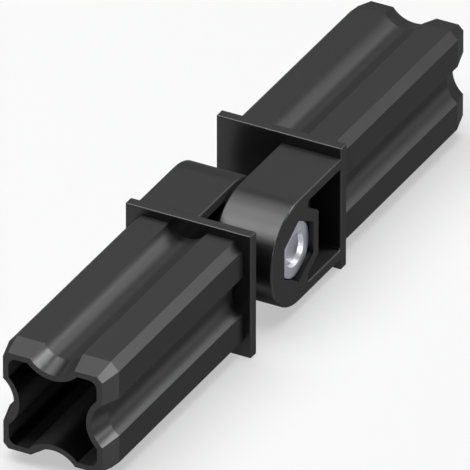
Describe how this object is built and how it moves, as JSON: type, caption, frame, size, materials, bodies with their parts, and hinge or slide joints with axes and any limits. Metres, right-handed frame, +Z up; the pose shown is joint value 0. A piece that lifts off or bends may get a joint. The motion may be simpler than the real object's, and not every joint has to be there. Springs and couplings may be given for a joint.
{
  "type": "hinged square tube connector",
  "caption": "Adjustable hinged connector for square tube: two moulded inserts with flanges and knuckles, clamped by a screw and nut.",
  "frame": {"origin": "centre of the pivot, halfway between the two halves, which is also the middle of the whole connector when straight", "axes": "+X along the tubes towards the rear half, +Y along the pivot from the nut to the screw's head, +Z up as it lies"},
  "size_m": [0.128, 0.0234, 0.0234],
  "materials": {
    "moulded_plastic": "fine satin texture from the mould",
    "screw_steel": "zinc plated",
    "nut_steel": "zinc plated"
  },
  "bodies": {
    "rear": {"rear_half": "moulded_plastic", "pivot_screw": "screw_steel", "pivot_nut": "nut_steel"},
    "front": {"front_half": "moulded_plastic"}
  },
  "joints": [
    {"name": "pivot", "type": "hinge", "parent": "rear", "child": "front", "pos_m": [0, 0, 0], "axis": [0, 1, 0], "range_deg": [-100, 100]}
  ]
}
